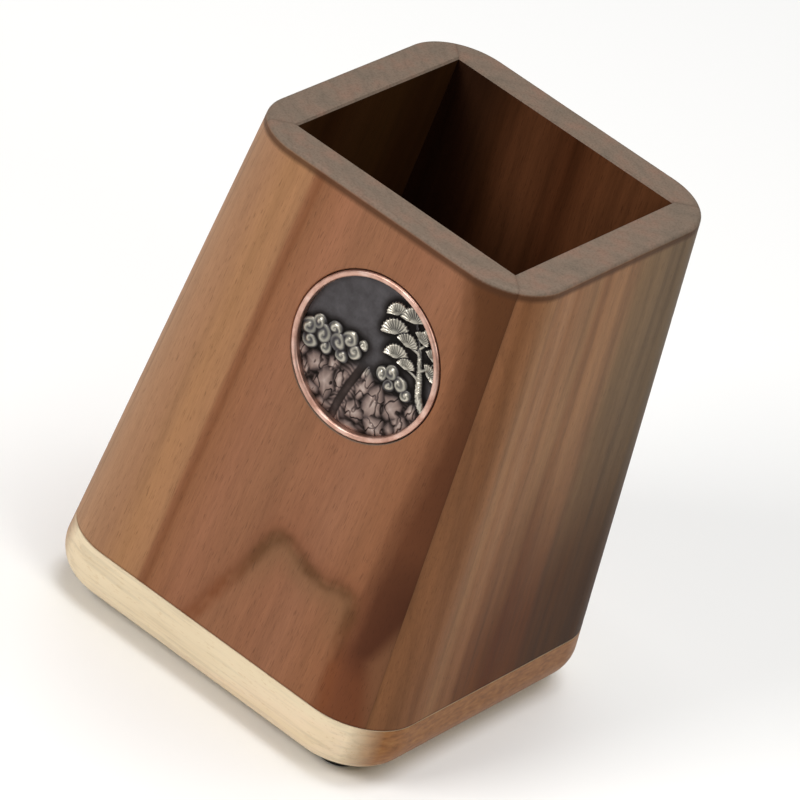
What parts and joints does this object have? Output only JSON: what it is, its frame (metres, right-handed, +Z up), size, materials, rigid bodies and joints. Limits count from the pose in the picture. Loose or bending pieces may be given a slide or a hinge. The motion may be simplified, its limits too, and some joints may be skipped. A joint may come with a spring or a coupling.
{
  "type": "brush holder pot",
  "caption": "Tapered square desk pot of mitred walnut boards on a pale wooden base, open at the top for brushes and pens, with a round metal medallion let into its front.",
  "frame": {"origin": "middle of the footprint, on the surface that the feet rest on", "axes": "+Z up out of the mouth, -Y out of the front board that carries the medallion, +X to the right of someone facing that board"},
  "size_m": [0.084, 0.084, 0.112],
  "materials": {
    "walnut": "satin oil",
    "maple": "satin oil",
    "copper_bezel": "polished copper plate",
    "antiqued_casting": "antiqued, rubbed back on the high spots",
    "foam_tape": "matt",
    "black_rubber": "matt"
  },
  "bodies": {
    "root": {"front_panel": "walnut", "right_panel": "walnut", "back_panel": "walnut", "left_panel": "walnut", "base_plate": "maple", "medallion_bezel": "copper_bezel", "medallion_disc": "antiqued_casting", "medallion_pad": "foam_tape", "foot_front_left": "black_rubber", "foot_front_right": "black_rubber", "foot_back_left": "black_rubber", "foot_back_right": "black_rubber"}
  },
  "joints": []
}
